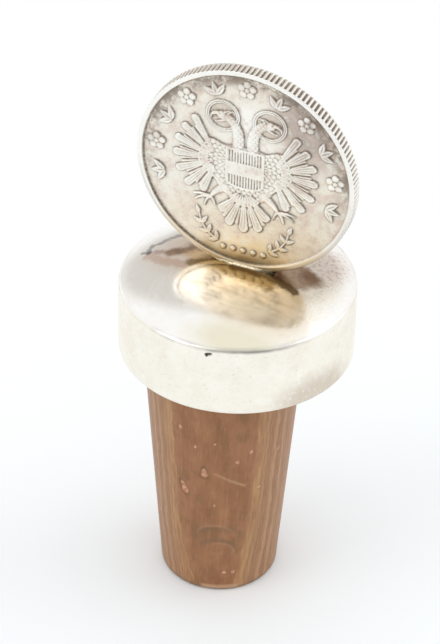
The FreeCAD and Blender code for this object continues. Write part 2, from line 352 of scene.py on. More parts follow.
def raised_ring(relief, x0, y0, radius, width, height):
    """Two fine circles side by side, with a groove between them."""
    where, x, y = relief.window([(x0, y0)], radius + width)
    offset = np.hypot(x - x0, y - y0) - radius + width / 2
    twin = 1 - 0.85 * np.exp(-(offset / ring_groove_width) ** 2)
    relief.raise_to(where, height * cushion(width / 2 + 0.05 - np.abs(offset), 0.1) * twin)


def fan_places(root, side, angles, near, far):
    """Start and end points of blades that spread from a root, at angles from +x on the right-hand side."""
    turns = np.radians(angles)
    directions = np.stack([side * np.cos(turns), np.sin(turns)], -1)
    root = np.array(root, float)
    near = np.broadcast_to(near, turns.shape)[:, None]
    far = np.broadcast_to(far, turns.shape)[:, None]
    return zip(root + near * directions, root + far * directions)


def over_outline(relief, corners):
    """The grid over a closed outline: its slices, x and y there, and the depth inside the outline."""
    where, x, y = relief.window(corners, 0.2)
    return where, x, y, -outline_distance(x, y, corners)


def both_sides(side):
    """A closed outline from its right half, which starts on the middle line."""
    return np.vstack([side, mirrored(side[1:], -1)[::-1]])


# The eagle: feathers' angles in degrees and their reaches from a root, and the plain band across the shield
wing_root = (3.6, 1.0)
wing_middle = (1.0, 1.0)
wing_angles = np.array([59.2, 40.1, 19.0, -3.8, -27.0, -48.7, -68.6])
wing_reaches = np.array([6.64, 6.28, 6.13, 6.06, 6.28, 6.52, 5.75])
tail_angles = np.linspace(227.5, 312.5, 5)
tail_reaches = np.array([4.9, 5.9, 6.1, 5.9, 4.9])
plain_band_y = 0.25
hatch_pitch = 0.377
eye = (3.5, 7.8)
foot_middle = (4.6, -4.9)


def feathers(relief, root, side, rows):
    """Rows of feathers from one root: angles, start, reach, width, height and the root's share of it."""
    for angles, near, far, width, height, root_share in rows:
        for start, end in fan_places(root, side, angles, near, far):
            feather(relief, start, end, width, height, root_share)


def wing(relief, side):
    """Seven long feathers with slim ones between, short ones over their roots, and a scaled shoulder."""
    between = (wing_angles[:-1] + wing_angles[1:]) / 2
    feathers(relief, mirrored(wing_root, side), side, [
        (between - 3.0, 2.6, 5.2, 0.32, 0.1, 0.6),
        (between + 3.0, 2.6, 5.2, 0.32, 0.1, 0.6),
        (wing_angles, 1.6, wing_reaches, 1.08, 0.16, 0.5),
        (np.linspace(50, -64, 8), 1.4, 2.75, 0.78, 0.18, 0.6),
    ])
    patch = [(2.5, 3.2), (3.3, 3.5), (4.2, 3.85), (4.9, 3.9), (5.5, 3.2), (5.75, 2.0), (5.6, 0.4),
             (5.0, -1.0), (4.1, -2.0), (3.3, -2.7), (2.5, -2.7)]
    where, x, y, depth = over_outline(relief, mirrored(patch, side))
    across, up = x * side - wing_middle[0], y - wing_middle[1]
    scales = scale_rows(np.arctan2(up, across) * 4.6, -np.hypot(across, up), 1.0)
    relief.raise_to(where, cushion(depth, 0.2) * (0.02 + 0.19 * scales))


def tail(relief):
    """Five long feathers, the middle one longest, over slim ones that show between them."""
    between = np.linspace(tail_angles[0], tail_angles[-1], 9)[1::2]
    feathers(relief, (0.0, -3.0), 1, [
        (between, 2.6, 5.2, 0.5, 0.1, 0.6),
        (tail_angles, 1.6, tail_reaches, 1.25, 0.16, 0.45),
    ])
    feathers(relief, (0.0, -2.6), 1, [(np.linspace(222, 318, 8), 1.2, 2.6, 0.7, 0.17, 0.45)])


def breast(relief):
    """The body behind the shield, covered in scales."""
    side = [(0.0, -4.6), (1.2, -4.6), (3.2, -3.4), (4.2, -1.6), (4.4, 1.0), (4.0, 3.2), (2.6, 3.4),
            (1.4, 3.6)]
    where, x, y, depth = over_outline(relief, both_sides(side))
    relief.raise_to(where, cushion(depth, 0.35) * (0.01 + 0.16 * scale_rows(x, y, 0.75)))


def shield(relief):
    """A bordered shield with a rounded foot: upright lines above and below a plain middle band."""
    side = [(0.0, -2.65), (1.2, -2.58), (2.0, -2.35), (2.45, -1.95), (2.62, -1.4), (2.62, 3.2)]
    where, x, y, depth = over_outline(relief, both_sides(side))
    border = 1 - 0.16 * smooth_step(depth, 0.16, 0.24)
    hatched = smooth_step(np.abs(y - plain_band_y), 0.88, 0.98) * smooth_step(depth, 0.24, 0.3)
    lines = 0.5 + 0.5 * np.cos(x * 2 * math.pi / hatch_pitch)
    band_lines = 0.025 * (np.exp(-((y - 1.16) / 0.06) ** 2) + np.exp(-((y + 0.66) / 0.06) ** 2))
    height = 0.185 * cushion(depth, 0.12) * border - 0.09 * hatched * (1 - lines) + band_lines * (depth > 0.1)
    relief.height[where] = np.where(depth > 0, np.maximum(height, 0.05), relief.height[where])


# Neck, beak's two halves, tongue and two crest feathers: points, widths at both ends, height, any scales
head_stems = (
    ([(1.0, 3.1), (0.95, 4.5), (1.1, 5.7), (1.6, 6.7), (2.35, 7.35), (3.2, 7.55)], 1.6, 1.15, 0.2, 0.6, 0.66),
    ([(3.4, 7.78), (4.15, 7.72), (4.6, 7.4), (4.66, 6.9)], 0.66, 0.12, 0.19),
    ([(2.9, 6.95), (3.5, 6.68), (4.1, 6.5)], 0.38, 0.1, 0.15),
    ([(3.5, 7.12), (4.0, 7.02), (4.3, 6.86)], 0.13, 0.08, 0.11),
    ([(2.9, 8.05), (2.3, 8.35), (1.95, 8.2)], 0.26, 0.07, 0.14),
    ([(2.5, 7.93), (1.9, 8.35), (1.55, 8.2)], 0.26, 0.07, 0.14),
)


def head(relief, side):
    """A scaled neck bent out to a flat head with a hooked open beak, an eye and a crest, before a ring."""
    raised_ring(relief, side * 3.1, 7.55, 2.2, 0.34, 0.13)
    boss(relief, side * 3.25, 7.6, 0.62, 0.2)
    for points, *sizes in head_stems:
        stem(relief, mirrored(points, side), *sizes)
    where, x, y = relief.window([(side * eye[0], eye[1])], 0.4)
    relief.height[where] -= 0.07 * np.exp(-(np.hypot(x - side * eye[0], y - eye[1]) / 0.13) ** 2)


def leg(relief, side):
    """A feathered thigh and four spread toes with pointed claws."""
    stem(relief, mirrored([(2.6, -2.9), (3.7, -3.8), (4.5, -4.8)], side), 1.25, 0.42, 0.185, 0.4, 0.4)
    for tip in ((6.8, -4.95), (6.6, -5.75), (5.3, -6.35), (3.9, -6.0)):
        out, down = tip[0] - foot_middle[0], tip[1] - foot_middle[1]
        bend = (foot_middle[0] + 0.55 * out, foot_middle[1] + 0.45 * down + 0.16)
        stem(relief, mirrored([(4.55, -4.85), bend, tip], side), 0.48, 0.2, 0.17)


# Ornaments of the border
border_radius = 12.0
border_count = 11
border_step = 20.7
leaf_spread = np.radians(48.0)
petals = 5
pellets = 5
pellet_pitch = 1.35
branch_points = ((3.5, -11.2), (4.7, -10.4), (5.6, -9.2), (6.0, -7.9))


def compass(turn):
    return np.array([math.cos(turn), math.sin(turn)])


def rosette(relief, centre, _):
    """Round petals about a button."""
    for turn in around(petals, math.pi / 2):
        boss(relief, *(centre + 0.76 * compass(turn)), 0.5, 0.16)
    boss(relief, *centre, 0.36, 0.18)


def sprig(relief, centre, turn):
    """Three leaves from one point."""
    root = centre - 0.95 * compass(turn)
    for spread in (-leaf_spread, 0.0, leaf_spread):
        leaf(relief, root, root + 2.05 * compass(turn + spread), 0.85, 0.17)


def branch(relief, side):
    """A curved branch beside the tail, with a pair of leaves at each joint and one at its end."""
    points = mirrored(branch_points, side)
    stem(relief, points, 0.34, 0.2, 0.13)
    steps = np.diff(points, axis=0)
    for place, turn in zip(points, np.arctan2(steps[:, 1], steps[:, 0])):
        for spread in (-leaf_spread, leaf_spread):
            leaf(relief, place, place + 1.4 * compass(turn + spread), 0.62, 0.15)
    leaf(relief, points[-1], points[-1] + 1.4 * steps[-1] / np.hypot(*steps[-1]), 0.62, 0.15)


def struck_front():
    """The whole relief: a two-headed eagle with a shield inside a border of small ornaments, and the rim."""
    relief = Relief()
    tail(relief)
    breast(relief)
    for side in (-1, 1):
        leg(relief, side)
        wing(relief, side)
    shield(relief)
    for side in (-1, 1):
        head(relief, side)
        branch(relief, side)
    for k in range(border_count):
        turn = math.radians(90 + border_step * (k - border_count // 2))
        ornament = rosette if k % 2 else sprig
        ornament(relief, border_radius * compass(turn), turn)
    for k in range(pellets):
        boss(relief, (k - pellets // 2) * pellet_pitch, -border_radius, 0.4, 0.15)
    x, y = np.meshgrid(relief.axis, relief.axis)
    rim = rim_height * smooth_step(np.hypot(x, y), field_radius - 0.06, field_radius + 0.12)
    relief.height = soften(np.maximum(relief.height, rim), 1)
    return relief


def disc_places(count):
    """A square grid mapped onto the unit disc: each square ring becomes an evenly spaced circle."""
    u, v = np.meshgrid(np.linspace(-1, 1, count + 1), np.linspace(-1, 1, count + 1))
    wide = np.abs(u) > np.abs(v)
    ratio = np.where(wide, v, u) / np.where(wide, u, np.where(v == 0, 1, v))
    turn = np.where(wide, math.pi / 4 * ratio, math.pi / 2 - math.pi / 4 * ratio)
    radius = np.where(wide, u, v)
    return radius * np.cos(turn), radius * np.sin(turn)


def square_boundary(count):
    """Numbers of a square grid's outer points, anticlockwise from its lower right, for count cells a side."""
    side = np.arange(count)
    wide = count + 1
    return np.concatenate([side * wide + count, count * wide + count - side, (count - side) * wide, side])


def match_winding(points, groups):
    """Turn each group of faces around where it looks towards the origin, which is the coin's middle."""
    return [faces if signed_volume(points, faces) > 0 else faces[:, ::-1] for faces in groups]


def make_coin(material):
    """The struck front on a disc grid, a reeded edge of rounded rows, and a plain back inside its rim.

    A reed's groove is a sine arch over part of its share of the edge, and fades out at each face. The front
    is marked hollow where the softened relief around a place stands above it, and raised where it lies below.
    Both sample the relief towards the lower left, so hollow also paints shade on the upper right of raised
    parts, and raised paints highlight on their lower left.
    """
    relief = struck_front()
    near, wide = soften(relief.height, 5), soften(relief.height, 14)
    x, y = (places.ravel() * (coin_radius - edge_round) for places in disc_places(face_cells))
    height = relief.sample(relief.height, x, y)
    # Sampled towards the lower left: painted shade on the upper right of raised parts, painted highlight on
    # their lower left
    outline = (relief.sample(near, x, y) + relief.sample(near, x - near_shading_lean, y - near_shading_lean)) / 2 - height
    shade = relief.sample(wide, x - wide_shading_lean, y - wide_shading_lean) - height
    low_places = np.clip(np.clip(outline / 0.035, 0, 1) * 0.8 + np.clip(shade / 0.06, 0, 1) * 0.35, 0, 1)
    high_places = np.clip(-shade / 0.05, 0, 1)
    field = coin_half - rim_height
    front = np.stack([x, -field - height, y], -1)

    count = 4 * face_cells
    angle = around(count, -math.pi / 4)
    phase = np.mod(angle / (2 * math.pi) * reed_count + 1e-6, 1.0) / groove_share
    groove = np.where(phase < 1, np.sin(math.pi * np.minimum(phase, 1)), 0.0).clip(0) ** 0.6
    rounded = [(*row, 0.15 * k) for k, row in enumerate(zip(*rounding(edge_round, [60.0, 30.0, 0.0])))]
    half_rows = [(inset, coin_half - drop, share) for inset, drop, share in [*rounded, (0.0, reed_fade, 1.0)]]
    rows = [(inset, -place, share) for inset, place, share in half_rows] + half_rows[::-1]
    back_rows = ((edge_round, coin_half), (rim_width - 0.1, coin_half), (rim_width, coin_half - 0.05),
                 (rim_width + 0.06, field + 0.02), (rim_width + 0.16, field), (coin_radius - 7.0, field))
    rows += [(inset, place, 0.0) for inset, place in back_rows]
    rings = []
    for inset, place, share in rows:
        radius = coin_radius - inset - share * reed_depth * groove
        rings.append(np.stack([radius * np.cos(angle), np.full(count, place), radius * np.sin(angle)], -1))
    points = np.vstack([front] + rings + [[(0.0, field, 0.0)]])
    low_marks = [low_places] + [np.minimum(1.6 * share * groove, 1) for _, _, share in rows] + [[0.0]]
    high_marks = [high_places] + [share * (1 - groove) for _, _, share in rows] + [[0.0]]
    marks = {"hollow": np.concatenate(low_marks), "raised": np.concatenate(high_marks)}

    cells = np.arange(face_cells)
    corner = (cells[:, None] * (face_cells + 1) + cells[None, :]).ravel()
    front_faces = np.stack([corner, corner + 1, corner + face_cells + 2, corner + face_cells + 1], -1)
    boundary = square_boundary(face_cells)
    ring = len(front) + np.arange(count)
    joint = np.stack([boundary, ring, np.roll(ring, -1), np.roll(boundary, -1)], -1)
    back = fan_faces(ring + (len(rings) - 1) * count, len(points) - 1)
    groups = match_winding(points, [front_faces, joint, ring_faces(len(rings), count, len(front)), back])
    points = points + (coin_x, 0.0, coin_z)
    return add_piece("coin", points, groups, material, "coin", marks, crease=75.0)


# Cap, plug and solder

def dome_height(s):
    """The dome's height at s from its axis: the shoulder plus its rise times 1 - (s / radius) ** power."""
    return shoulder + dome_rise * (1 - (np.minimum(s, cap_radius) / cap_radius) ** dome_power)


def coin_foot_height(x):
    """Height of the coin's lower edge over a place along the seam."""
    reach = np.clip(coin_radius ** 2 - (x - coin_x) ** 2, 0, None)
    return coin_z - np.sqrt(reach)


def grid_rings(radii, heights, columns, axis_x=0.0):
    """Rings of points: one radius and height, or one row of them around, for each ring."""
    angle = around(columns)
    radii = np.array([np.broadcast_to(r, columns) for r in radii])
    heights = np.array([np.broadcast_to(z, columns) for z in heights])
    points = np.stack([axis_x + radii * np.cos(angle), radii * np.sin(angle), heights], -1)
    return points.reshape(-1, 3)


def close_rings(points, columns, poles):
    """Rings of points closed by a fan to a pole at each end: all points, and groups of faces."""
    rows = len(points) // columns
    first = fan_faces(np.arange(columns), len(points))[:, ::-1]
    last = fan_faces((rows - 1) * columns + np.arange(columns), len(points) + 1)
    return np.vstack([points, poles]), [ring_faces(rows, columns), first, last]


seam_bend = 0.6
seam_nick = 0.06
hand_marks = 0.012
dome_columns = 288
band_columns = 480
plug_columns = 420
solder_columns = 220

# Pit in the band: angle, height, rise along the band, half length, half width and depth
band_pit = (-81.7, 45.67, 0.45, 0.42, 0.16, 0.2)


def make_dome(material):
    """A thin domed shell: the outside by the dome's formula with a bent edge, a flat rim, and the inside.

    The slot for the coin is pressed in down to the coin's lower edge, and the surface is uneven by hand.
    """
    angle = around(dome_columns)
    inset, drop = rounding(seam_bend, [62.0, 54.0, 46.0, 38.0])
    bend_radii = cap_radius - inset
    bend_heights = dome_height(bend_radii[0]) + drop[0] - drop
    top_radii = bend_radii[0] * np.sin(np.linspace(0.008, math.pi / 2, 90))
    r = np.concatenate([top_radii, bend_radii[1:]])[:, None]
    z = np.concatenate([dome_height(top_radii), bend_heights[1:]])[:, None]
    dent = hand_marks * (wobble(angle, r, 3, 5) + 1) * smooth_step(r, 1.0, 8.0)
    sunk = np.clip(dome_height(r) - coin_foot_height(cap_x + r * np.cos(angle)), 0, None)
    slot = sunk * (1 - smooth_step(np.abs(r * np.sin(angle)), coin_half, coin_half + 0.1))
    inner_reach = cap_radius * (1 - dome_sheet / dome_rise) ** (1 / dome_power)
    inner_radii = inner_reach * np.sin(np.linspace(math.pi / 2, 0.02, 30))
    radii = [*r, bend_radii[-1] - seam_nick, *inner_radii]
    heights = [*(z - dent - slot), shoulder, *(dome_height(inner_radii) - dome_sheet)]
    top = crown - 0.01 - max(0.0, dome_height(0) - coin_foot_height(cap_x))
    poles = [(cap_x, 0, top), (cap_x, 0, crown - dome_sheet)]
    points, faces = close_rings(grid_rings(radii, heights, dome_columns, cap_x), dome_columns, poles)
    return add_piece("cap_dome", points, faces, material, "cap_dome", crease=60.0)


def make_band(material):
    """A ring: an uneven wall with a rounded lower edge, a bent upper edge and one small solder pit."""
    angle = around(band_columns)
    top_inset, top_drop = rounding(seam_bend, [38.0, 28.0, 18.0, 8.0, 0.0])
    top_z = shoulder + top_drop[0] - top_drop - seam_nick / 2
    low_inset, low_rise = rounding(edge_radius, [0.0, 22.5, 45.0, 67.5, 90.0])
    low_z = band_foot + low_rise
    wall_z = np.linspace(top_z[-1] - 0.1, low_z[0] + 0.1, 70)
    r = cap_radius - np.concatenate([top_inset, 0 * wall_z, low_inset])[:, None]
    z = np.concatenate([top_z, wall_z, low_z])[:, None]
    turn, height, lean, half_length, half_width, pit_depth = band_pit
    along = (angle - math.radians(360 + turn)) * cap_radius
    pit = np.exp(-(along / half_length) ** 2 - ((z - height - lean * along) / half_width) ** 2)
    wave = np.clip(0.5 + 0.5 * wobble(angle, z, 11, 7, 9.0), 0, 1)
    inner = cap_radius - band_wall
    outer = r - 0.02 * wave - pit_depth * pit
    radii = [cap_radius - 0.1 - seam_nick, *outer, inner + 0.1, inner, inner, inner + 0.1]
    heights = [shoulder, *z, band_foot, band_foot + 0.1, shoulder - 0.1, shoulder]
    points = grid_rings(radii, heights, band_columns, cap_x)
    faces = ring_faces(len(radii), band_columns, closed_rows=True)
    return add_piece("cap_band", points, [faces], material, "cap_band", crease=60.0)


# Pits in the plug's side: angle from +X in degrees, height, half width, half height, lean in degrees, depth
plug_pits = (
    (-81.7, 21.2, 0.52, 0.95, 6.0, 0.26),
    (-99.9, 17.7, 0.5, 1.25, 22.0, 0.26),
    (-101.3, 28.3, 0.36, 0.45, 0.0, 0.14),
    (-73.2, 26.6, 0.24, 0.24, 0.0, 0.1),
    (-55.0, 23.4, 0.34, 0.34, 0.0, 0.12),
    (-44.0, 24.8, 0.3, 0.42, -20.0, 0.12),
    (-16.0, 23.2, 0.3, 0.5, 0.0, 0.12),
    (-34.7, 18.0, 0.28, 0.42, -25.0, 0.12),
    (-73.4, 15.7, 0.3, 0.26, 0.0, 0.1),
    (-54.2, 3.3, 0.32, 0.36, 0.0, 0.12),
    (-88.7, 25.7, 0.24, 0.3, 0.0, 0.05),
    (-63.0, 3.4, 0.34, 0.3, 0.0, 0.05),
)

# Arcs rubbed into the plug: angle, height, radius, half width and the turn of their open side
pale_arcs = ((-72.0, 10.2, 2.6, 0.2, 0.1), (-68.0, 7.4, 2.0, 0.2, -0.6))
dull_arcs = ((-74.0, 9.6, 2.6, 0.6, 0.3), (-70.0, 7.6, 2.5, 0.55, 0.0), (-64.0, 10.0, 2.2, 0.5, -0.5))

# A slanting stroke on the plug: angle and height of its start, how far round it goes, and its drop
stroke = (-72.5, 21.4, math.radians(24.0), 2.3)
plug_back_pits = 9
back_pit_ranges = ((20, 220), (4, 32), (0.22, 0.5), (0.26, 0.9), (-20, 20), (0.08, 0.2))


def all_pits():
    """The listed pits, and a few more of like sizes around the back."""
    rng = np.random.default_rng(21)
    back = [[rng.uniform(low, high) for low, high in back_pit_ranges] for _ in range(plug_back_pits)]
    return [*plug_pits, *back]


def turn_from(angle, degrees):
    """How far angles are from one in degrees, within half a turn either way."""
    return np.mod(angle - math.radians(degrees) + math.pi, 2 * math.pi) - math.pi


def plug_marks_and_foot_shade(angle, z):
    """Rubbed marks on the front, 0 to 1: pale ones and dull ones.

    Pale are a slanting stroke, two thin arcs and a strip at the foot, and dull are three broad arcs and
    painted shade along the foot's lower edge outside that strip. An arc is part of a ring about a place, a
    bell curve of the ring's distance.
    """
    radius = (plug_top_radius + plug_foot_radius) / 2

    def arc(turn, height, reach, width, opening):
        x, y = turn_from(angle, turn) * radius, z - height
        ring = np.hypot(x, 1.4 * y) - reach
        part = smooth_step(np.cos(np.arctan2(y, x) - math.pi / 2 - opening), -0.2, 0.6)
        return np.exp(-(ring / width) ** 2) * part

    start, height, reach, drop = stroke
    from_start = turn_from(angle, start) * radius
    share = np.clip(from_start / (reach * radius), 0, 1)
    gap = np.hypot(from_start - share * reach * radius, z - height + drop * share)
    pale = np.exp(-(gap / 0.2) ** 2) * (0.5 + 0.4 * share)
    for one in pale_arcs:
        pale = np.maximum(pale, 0.3 * arc(*one))
    foot = smooth_step(np.abs(turn_from(angle, -67.0) * radius), 3.2, 2.6)
    foot = foot * smooth_step(z, 1.15, 0.9) * smooth_step(z, 0.2, 0.35)
    # Painted shade along the foot's lower edge, left out where the front strip is worn pale
    dull = (1 - foot) * smooth_step(z, 1.0, 0.3)
    for one in dull_arcs:
        dull = np.maximum(dull, 0.9 * arc(*one))
    return np.maximum(pale, foot), dull


def make_plug(material):
    """A tapered wall with pits, a worn bevel at its foot, a flat top with the screw's bore, and a flat foot.

    A pit is a sunk oval, sharper at its edge than a bell curve. Its middle is marked pale, and its edge is
    marked with painted shade, darkest at its upper left.
    """
    angle = around(plug_columns)
    bevel_top = plug_foot_bevel + 0.25
    wall_z = np.linspace(plug_length, bevel_top, 190)[:, None] + 0 * angle
    wall_r = plug_foot_radius + (plug_top_radius - plug_foot_radius) / plug_length * wall_z
    sunk, pale, dark = 0 * wall_r, 0 * wall_r, 0 * wall_r
    for turn, height, wide, tall, lean, depth in all_pits():
        x, z = turn_from(angle, turn) * wall_r, wall_z - height
        tilt = math.radians(lean)
        across = x * math.cos(tilt) + z * math.sin(tilt)
        along = z * math.cos(tilt) - x * math.sin(tilt)
        clock = np.arctan2(along, across)
        gap = np.hypot(across / wide, along / tall) * (1 + 0.18 * np.sin(3 * clock + turn))
        sunk = np.maximum(sunk, depth * (1 - smooth_step(gap, 0.35, 1.15)))
        pale = np.maximum(pale, 1 - smooth_step(gap, 0.55, 0.95))
        # Painted shade around the pit's rim, darkest at its upper left
        shaded = 0.65 + 0.35 * np.cos(clock - 2.4)
        dark = np.maximum(dark, np.exp(-((gap - 1.02) / 0.17) ** 2) * depth / 0.26 * shaded)
    uneven = hand_marks * (1 + wobble(angle, wall_z, 5, 9, 25.0)) * (1 - smooth_step(wall_z, 35, 36.6))
    wall_r = wall_r - sunk - uneven
    worn = plug_foot_bevel * (1 + 0.25 * wobble(angle, 0.0, 8, 8))
    foot_turn = np.linspace(0.0, 1.0, 5)[1:, None]
    foot_z = bevel_top * (1 - foot_turn) ** 1.3 + 0 * angle
    foot_r = wall_r[-1] - worn * foot_turn ** 1.6
    bore_z = [screw_tip + 2.5, (screw_tip + plug_length) / 2, plug_length]
    points = grid_rings([shank_radius] * 3 + [*wall_r, *foot_r], [*bore_z, *wall_z, *foot_z], plug_columns)
    points, faces = close_rings(points, plug_columns, [(0, 0, screw_tip - 1.0), (0, 0, 0)])
    rubbed, dull = plug_marks_and_foot_shade(angle, np.vstack([wall_z, foot_z]))
    marks = {}
    for name, values in (("pit_pale", pale), ("pit_rim_shade", dark), ("rubbed", rubbed), ("dull", dull)):
        marks[name] = np.zeros(len(points))
        marks[name][3 * plug_columns:3 * plug_columns + values.size] = values.ravel()
    return add_piece("plug", points, faces, material, "plug", marks, crease=50.0)


# Solder: how far it reaches past the coin's faces, the bead's height, and the lump's place and half sizes
solder_leg = 0.45
bead_height = 0.46
lump_place = (solder_high[0] - 0.85, -0.95)
lump_halves = (0.62, 0.5)


def make_solder(material):
    """A flattened oval bead around the coin's foot, lumpy by hand, with a blob at its right end.

    Its top is the higher of the oval and the blob, cut back to the coin's lower edge under the coin.
    """
    angle = around(solder_columns)
    share = np.linspace(0.02, 1.0, 46)[:, None]
    half_length = (solder_high[0] - solder_low[0]) / 2
    middle_x = (solder_high[0] + solder_low[0]) / 2
    uneven = np.clip(1 + 0.1 * wobble(angle, 0.0, 17, 14), 0.7, 1.0)
    x = middle_x + half_length * share * np.cos(angle) * uneven
    y = (coin_half + solder_leg) * share * np.sin(angle) * uneven
    base = dome_height(np.hypot(x - cap_x, y))
    lumpy = 1 + 0.2 * wobble(angle * 3, share * 4, 19, 6)
    oval = crown + bead_height * np.sqrt(np.clip(1 - share ** 2, 0, 1)) * lumpy
    ball = 1 - ((x - lump_place[0]) / lump_halves[0]) ** 2 - ((y - lump_place[1]) / lump_halves[1]) ** 2
    lump = crown - 0.12 + 0.6 * np.sqrt(np.clip(ball, 0, 1))
    top = np.maximum(np.minimum(oval, base + 0.42), np.where(lump > crown - 0.119, lump, 0))
    under_coin = np.abs(y) < coin_half - 0.02
    top = np.where(under_coin, np.minimum(top, coin_foot_height(x) - 0.002), top)
    top = np.maximum(np.where(share < 1, top, base), base - 0.3)
    low_share = np.array([1.0, 0.5])[:, None]
    low_x, low_y = middle_x + (x[-1] - middle_x) * low_share, y[-1] * low_share
    low_z = dome_height(np.hypot(low_x - cap_x, low_y)) - np.array([0.05, 0.4])[:, None]
    rings = [np.vstack(pair) for pair in ((x, low_x), (y, low_y), (top, low_z))]
    points = np.stack(rings, -1).reshape(-1, 3)
    poles = [(middle_x, 0, top[0].mean()), (middle_x, 0, crown - 0.42)]
    points, faces = close_rings(points, solder_columns, poles)
    return add_piece("coin_solder", points, faces, material, "coin_solder", crease=70.0)


# Materials

class Wiring:
    """Short calls that add nodes to one tree. An input is a number, a colour or another node's output."""

    def __init__(self, tree):
        self.tree = tree

    def node(self, kind, inputs=None, **settings):
        made = self.tree.nodes.new("ShaderNode" + kind)
        for name, setting in settings.items():
            setattr(made, name, setting)
        for name, value in (inputs or {}).items():
            self.feed(made.inputs[name], value)
        return made

    def feed(self, socket, value):
        if isinstance(value, bpy.types.NodeSocket):
            self.tree.links.new(value, socket)
        elif socket.type == "RGBA":
            socket.default_value = (*value, 1)
        else:
            socket.default_value = value

    def math(self, operation, first, second=0.0, clamp=False):
        return self.node("Math", {0: first, 1: second}, operation=operation, use_clamp=clamp).outputs[0]

    def times(self, first, second, clamp=False):
        return self.math("MULTIPLY", first, second, clamp)

    def plus(self, first, second):
        return self.math("ADD", first, second)

    def minus(self, first, second):
        return self.math("SUBTRACT", first, second)

    def most(self, *values):
        return reduce(lambda first, second: self.math("MAXIMUM", first, second), values)

    def vector(self, operation, first, second=(0, 0, 0)):
        """Vector arithmetic. A dot product or a length is a number."""
        made = self.node("VectorMath", {0: first, 1: second}, operation=operation)
        return made.outputs["Value" if operation in ("DOT_PRODUCT", "LENGTH") else "Vector"]

    def parts(self, vector):
        return self.node("SeparateXYZ", {0: vector}).outputs

    def blend(self, share, first, second):
        """first where share is 0, second where it is 1."""
        return self.node("Mix", {0: share, 6: first, 7: second}, data_type="RGBA").outputs[2]

    def layers(self, colour, rows):
        """A colour with others laid over it. Each row is a mask, a strength and a colour."""
        for mask, strength, over in rows:
            colour = self.blend(self.times(mask, strength), colour, over)
        return colour

    def step(self, value, low, high, start=0.0, end=1.0):
        """An S curve from start at low to end at high."""
        inputs = {"Value": value, "From Min": low, "From Max": high, "To Min": start, "To Max": end}
        return self.node("MapRange", inputs, interpolation_type="SMOOTHSTEP").outputs[0]

    def noise(self, place, scale, detail=2.0, roughness=0.5):
        inputs = {"Vector": place, "Scale": scale, "Detail": detail, "Roughness": roughness}
        return self.node("TexNoise", inputs).outputs[0]

    def place(self, centre=(0, 0, 0), stretch=(1, 1, 1), turn=(0, 0, 0)):
        """Object coordinates in millimetres, from a centre, then turned and stretched."""
        scaled = self.vector("MULTIPLY", self.node("TexCoord").outputs["Object"], (1 / MM,) * 3)
        inputs = {"Vector": self.vector("SUBTRACT", scaled, centre), "Scale": stretch, "Rotation": turn}
        return self.node("Mapping", inputs).outputs[0]

    def mark(self, name):
        """A mark that the piece's mesh carries."""
        return self.node("Attribute", attribute_name=name).outputs["Fac"]

    def mask(self, group, values):
        """A placed group's mask. Its inputs are given in their order."""
        made = self.tree.nodes.new("ShaderNodeGroup")
        made.node_tree = group
        for socket, value in zip(made.inputs, values):
            self.feed(socket, value)
        return made.outputs["Mask"]

    def bump(self, height, distance_mm, strength):
        inputs = {"Height": height, "Distance": distance_mm * MM, "Strength": strength}
        return self.node("Bump", inputs).outputs[0]

    def finish(self, shader):
        self.node("OutputMaterial", {"Surface": shader.outputs[0]})

    def coat(self, colour, roughness, normal, **constants):
        """The material's own Principled shader, with constants on its sockets."""
        inputs = {"Base Color": colour, "Roughness": roughness, "Normal": normal, **constants}
        self.finish(self.node("BsdfPrincipled", inputs))


def new_material(name):
    """An empty material and its wiring."""
    material = bpy.data.materials.new(name)
    material.use_nodes = True
    material.node_tree.nodes.clear()
    return material, Wiring(material.node_tree)


def new_group(name, inputs):
    """A node group with named inputs that puts out a mask. Returns the group, its wiring and its two ends."""
    group = bpy.data.node_groups.new(name, "ShaderNodeTree")
    for label, value in inputs.items():
        kind = "NodeSocketVector" if isinstance(value, tuple) else "NodeSocketFloat"
        group.interface.new_socket(label, in_out="INPUT", socket_type=kind).default_value = value
    group.interface.new_socket("Mask", in_out="OUTPUT", socket_type="NodeSocketFloat")
    source = group.nodes.new("NodeGroupInput").outputs
    target = group.nodes.new("NodeGroupOutput").inputs
    return group, Wiring(group), source, target


def frayed(wires, source, value):
    """A group's value made uneven by its own fray noise."""
    ragged = wires.minus(wires.noise(source["Place"], source["Fray Scale"], 4.0, 0.6), 0.5)
    return wires.plus(value, wires.times(ragged, source["Fray"]))


def make_patch_group():
    """A soft-edged oval area: 1 within its middle, 0 outside, its edge frayed by noise."""
    inputs = {"Place": (0, 0, 0), "Centre": (0, 0, 0), "Half Size": (1, 1, 1), "Softness": 0.3, "Fray": 0.2,
              "Fray Scale": 1.0}
    group, wires, source, target = new_group("soft patch", inputs)
    away = wires.vector("SUBTRACT", source["Place"], source["Centre"])
    reach = wires.vector("LENGTH", wires.vector("DIVIDE", away, source["Half Size"]))
    reach = frayed(wires, source, reach)
    low, high = wires.minus(1.0, source["Softness"]), wires.plus(1.0, source["Softness"])
    wires.feed(target["Mask"], wires.step(reach, low, high, 1.0, 0.0))
    return group


def make_streak_group():
    """A soft line between two places, its edge frayed by noise: 1 on the line, 0 from its width outwards."""
    inputs = {"Place": (0, 0, 0), "Start": (0, 0, 0), "End": (1, 0, 0), "Width": 0.5, "Fray": 0.2,
              "Fray Scale": 1.0}
    group, wires, source, target = new_group("streak", inputs)
    along = wires.vector("SUBTRACT", source["End"], source["Start"])
    away = wires.vector("SUBTRACT", source["Place"], source["Start"])
    reach, square = wires.vector("DOT_PRODUCT", away, along), wires.vector("DOT_PRODUCT", along, along)
    share = wires.math("DIVIDE", reach, square, clamp=True)
    nearest = wires.node("VectorMath", {0: along, "Scale": share}, operation="SCALE").outputs[0]
    gap = frayed(wires, source, wires.vector("LENGTH", wires.vector("SUBTRACT", away, nearest)))
    wires.feed(target["Mask"], wires.step(gap, wires.times(source["Width"], 0.3), source["Width"], 1.0, 0.0))
    return group


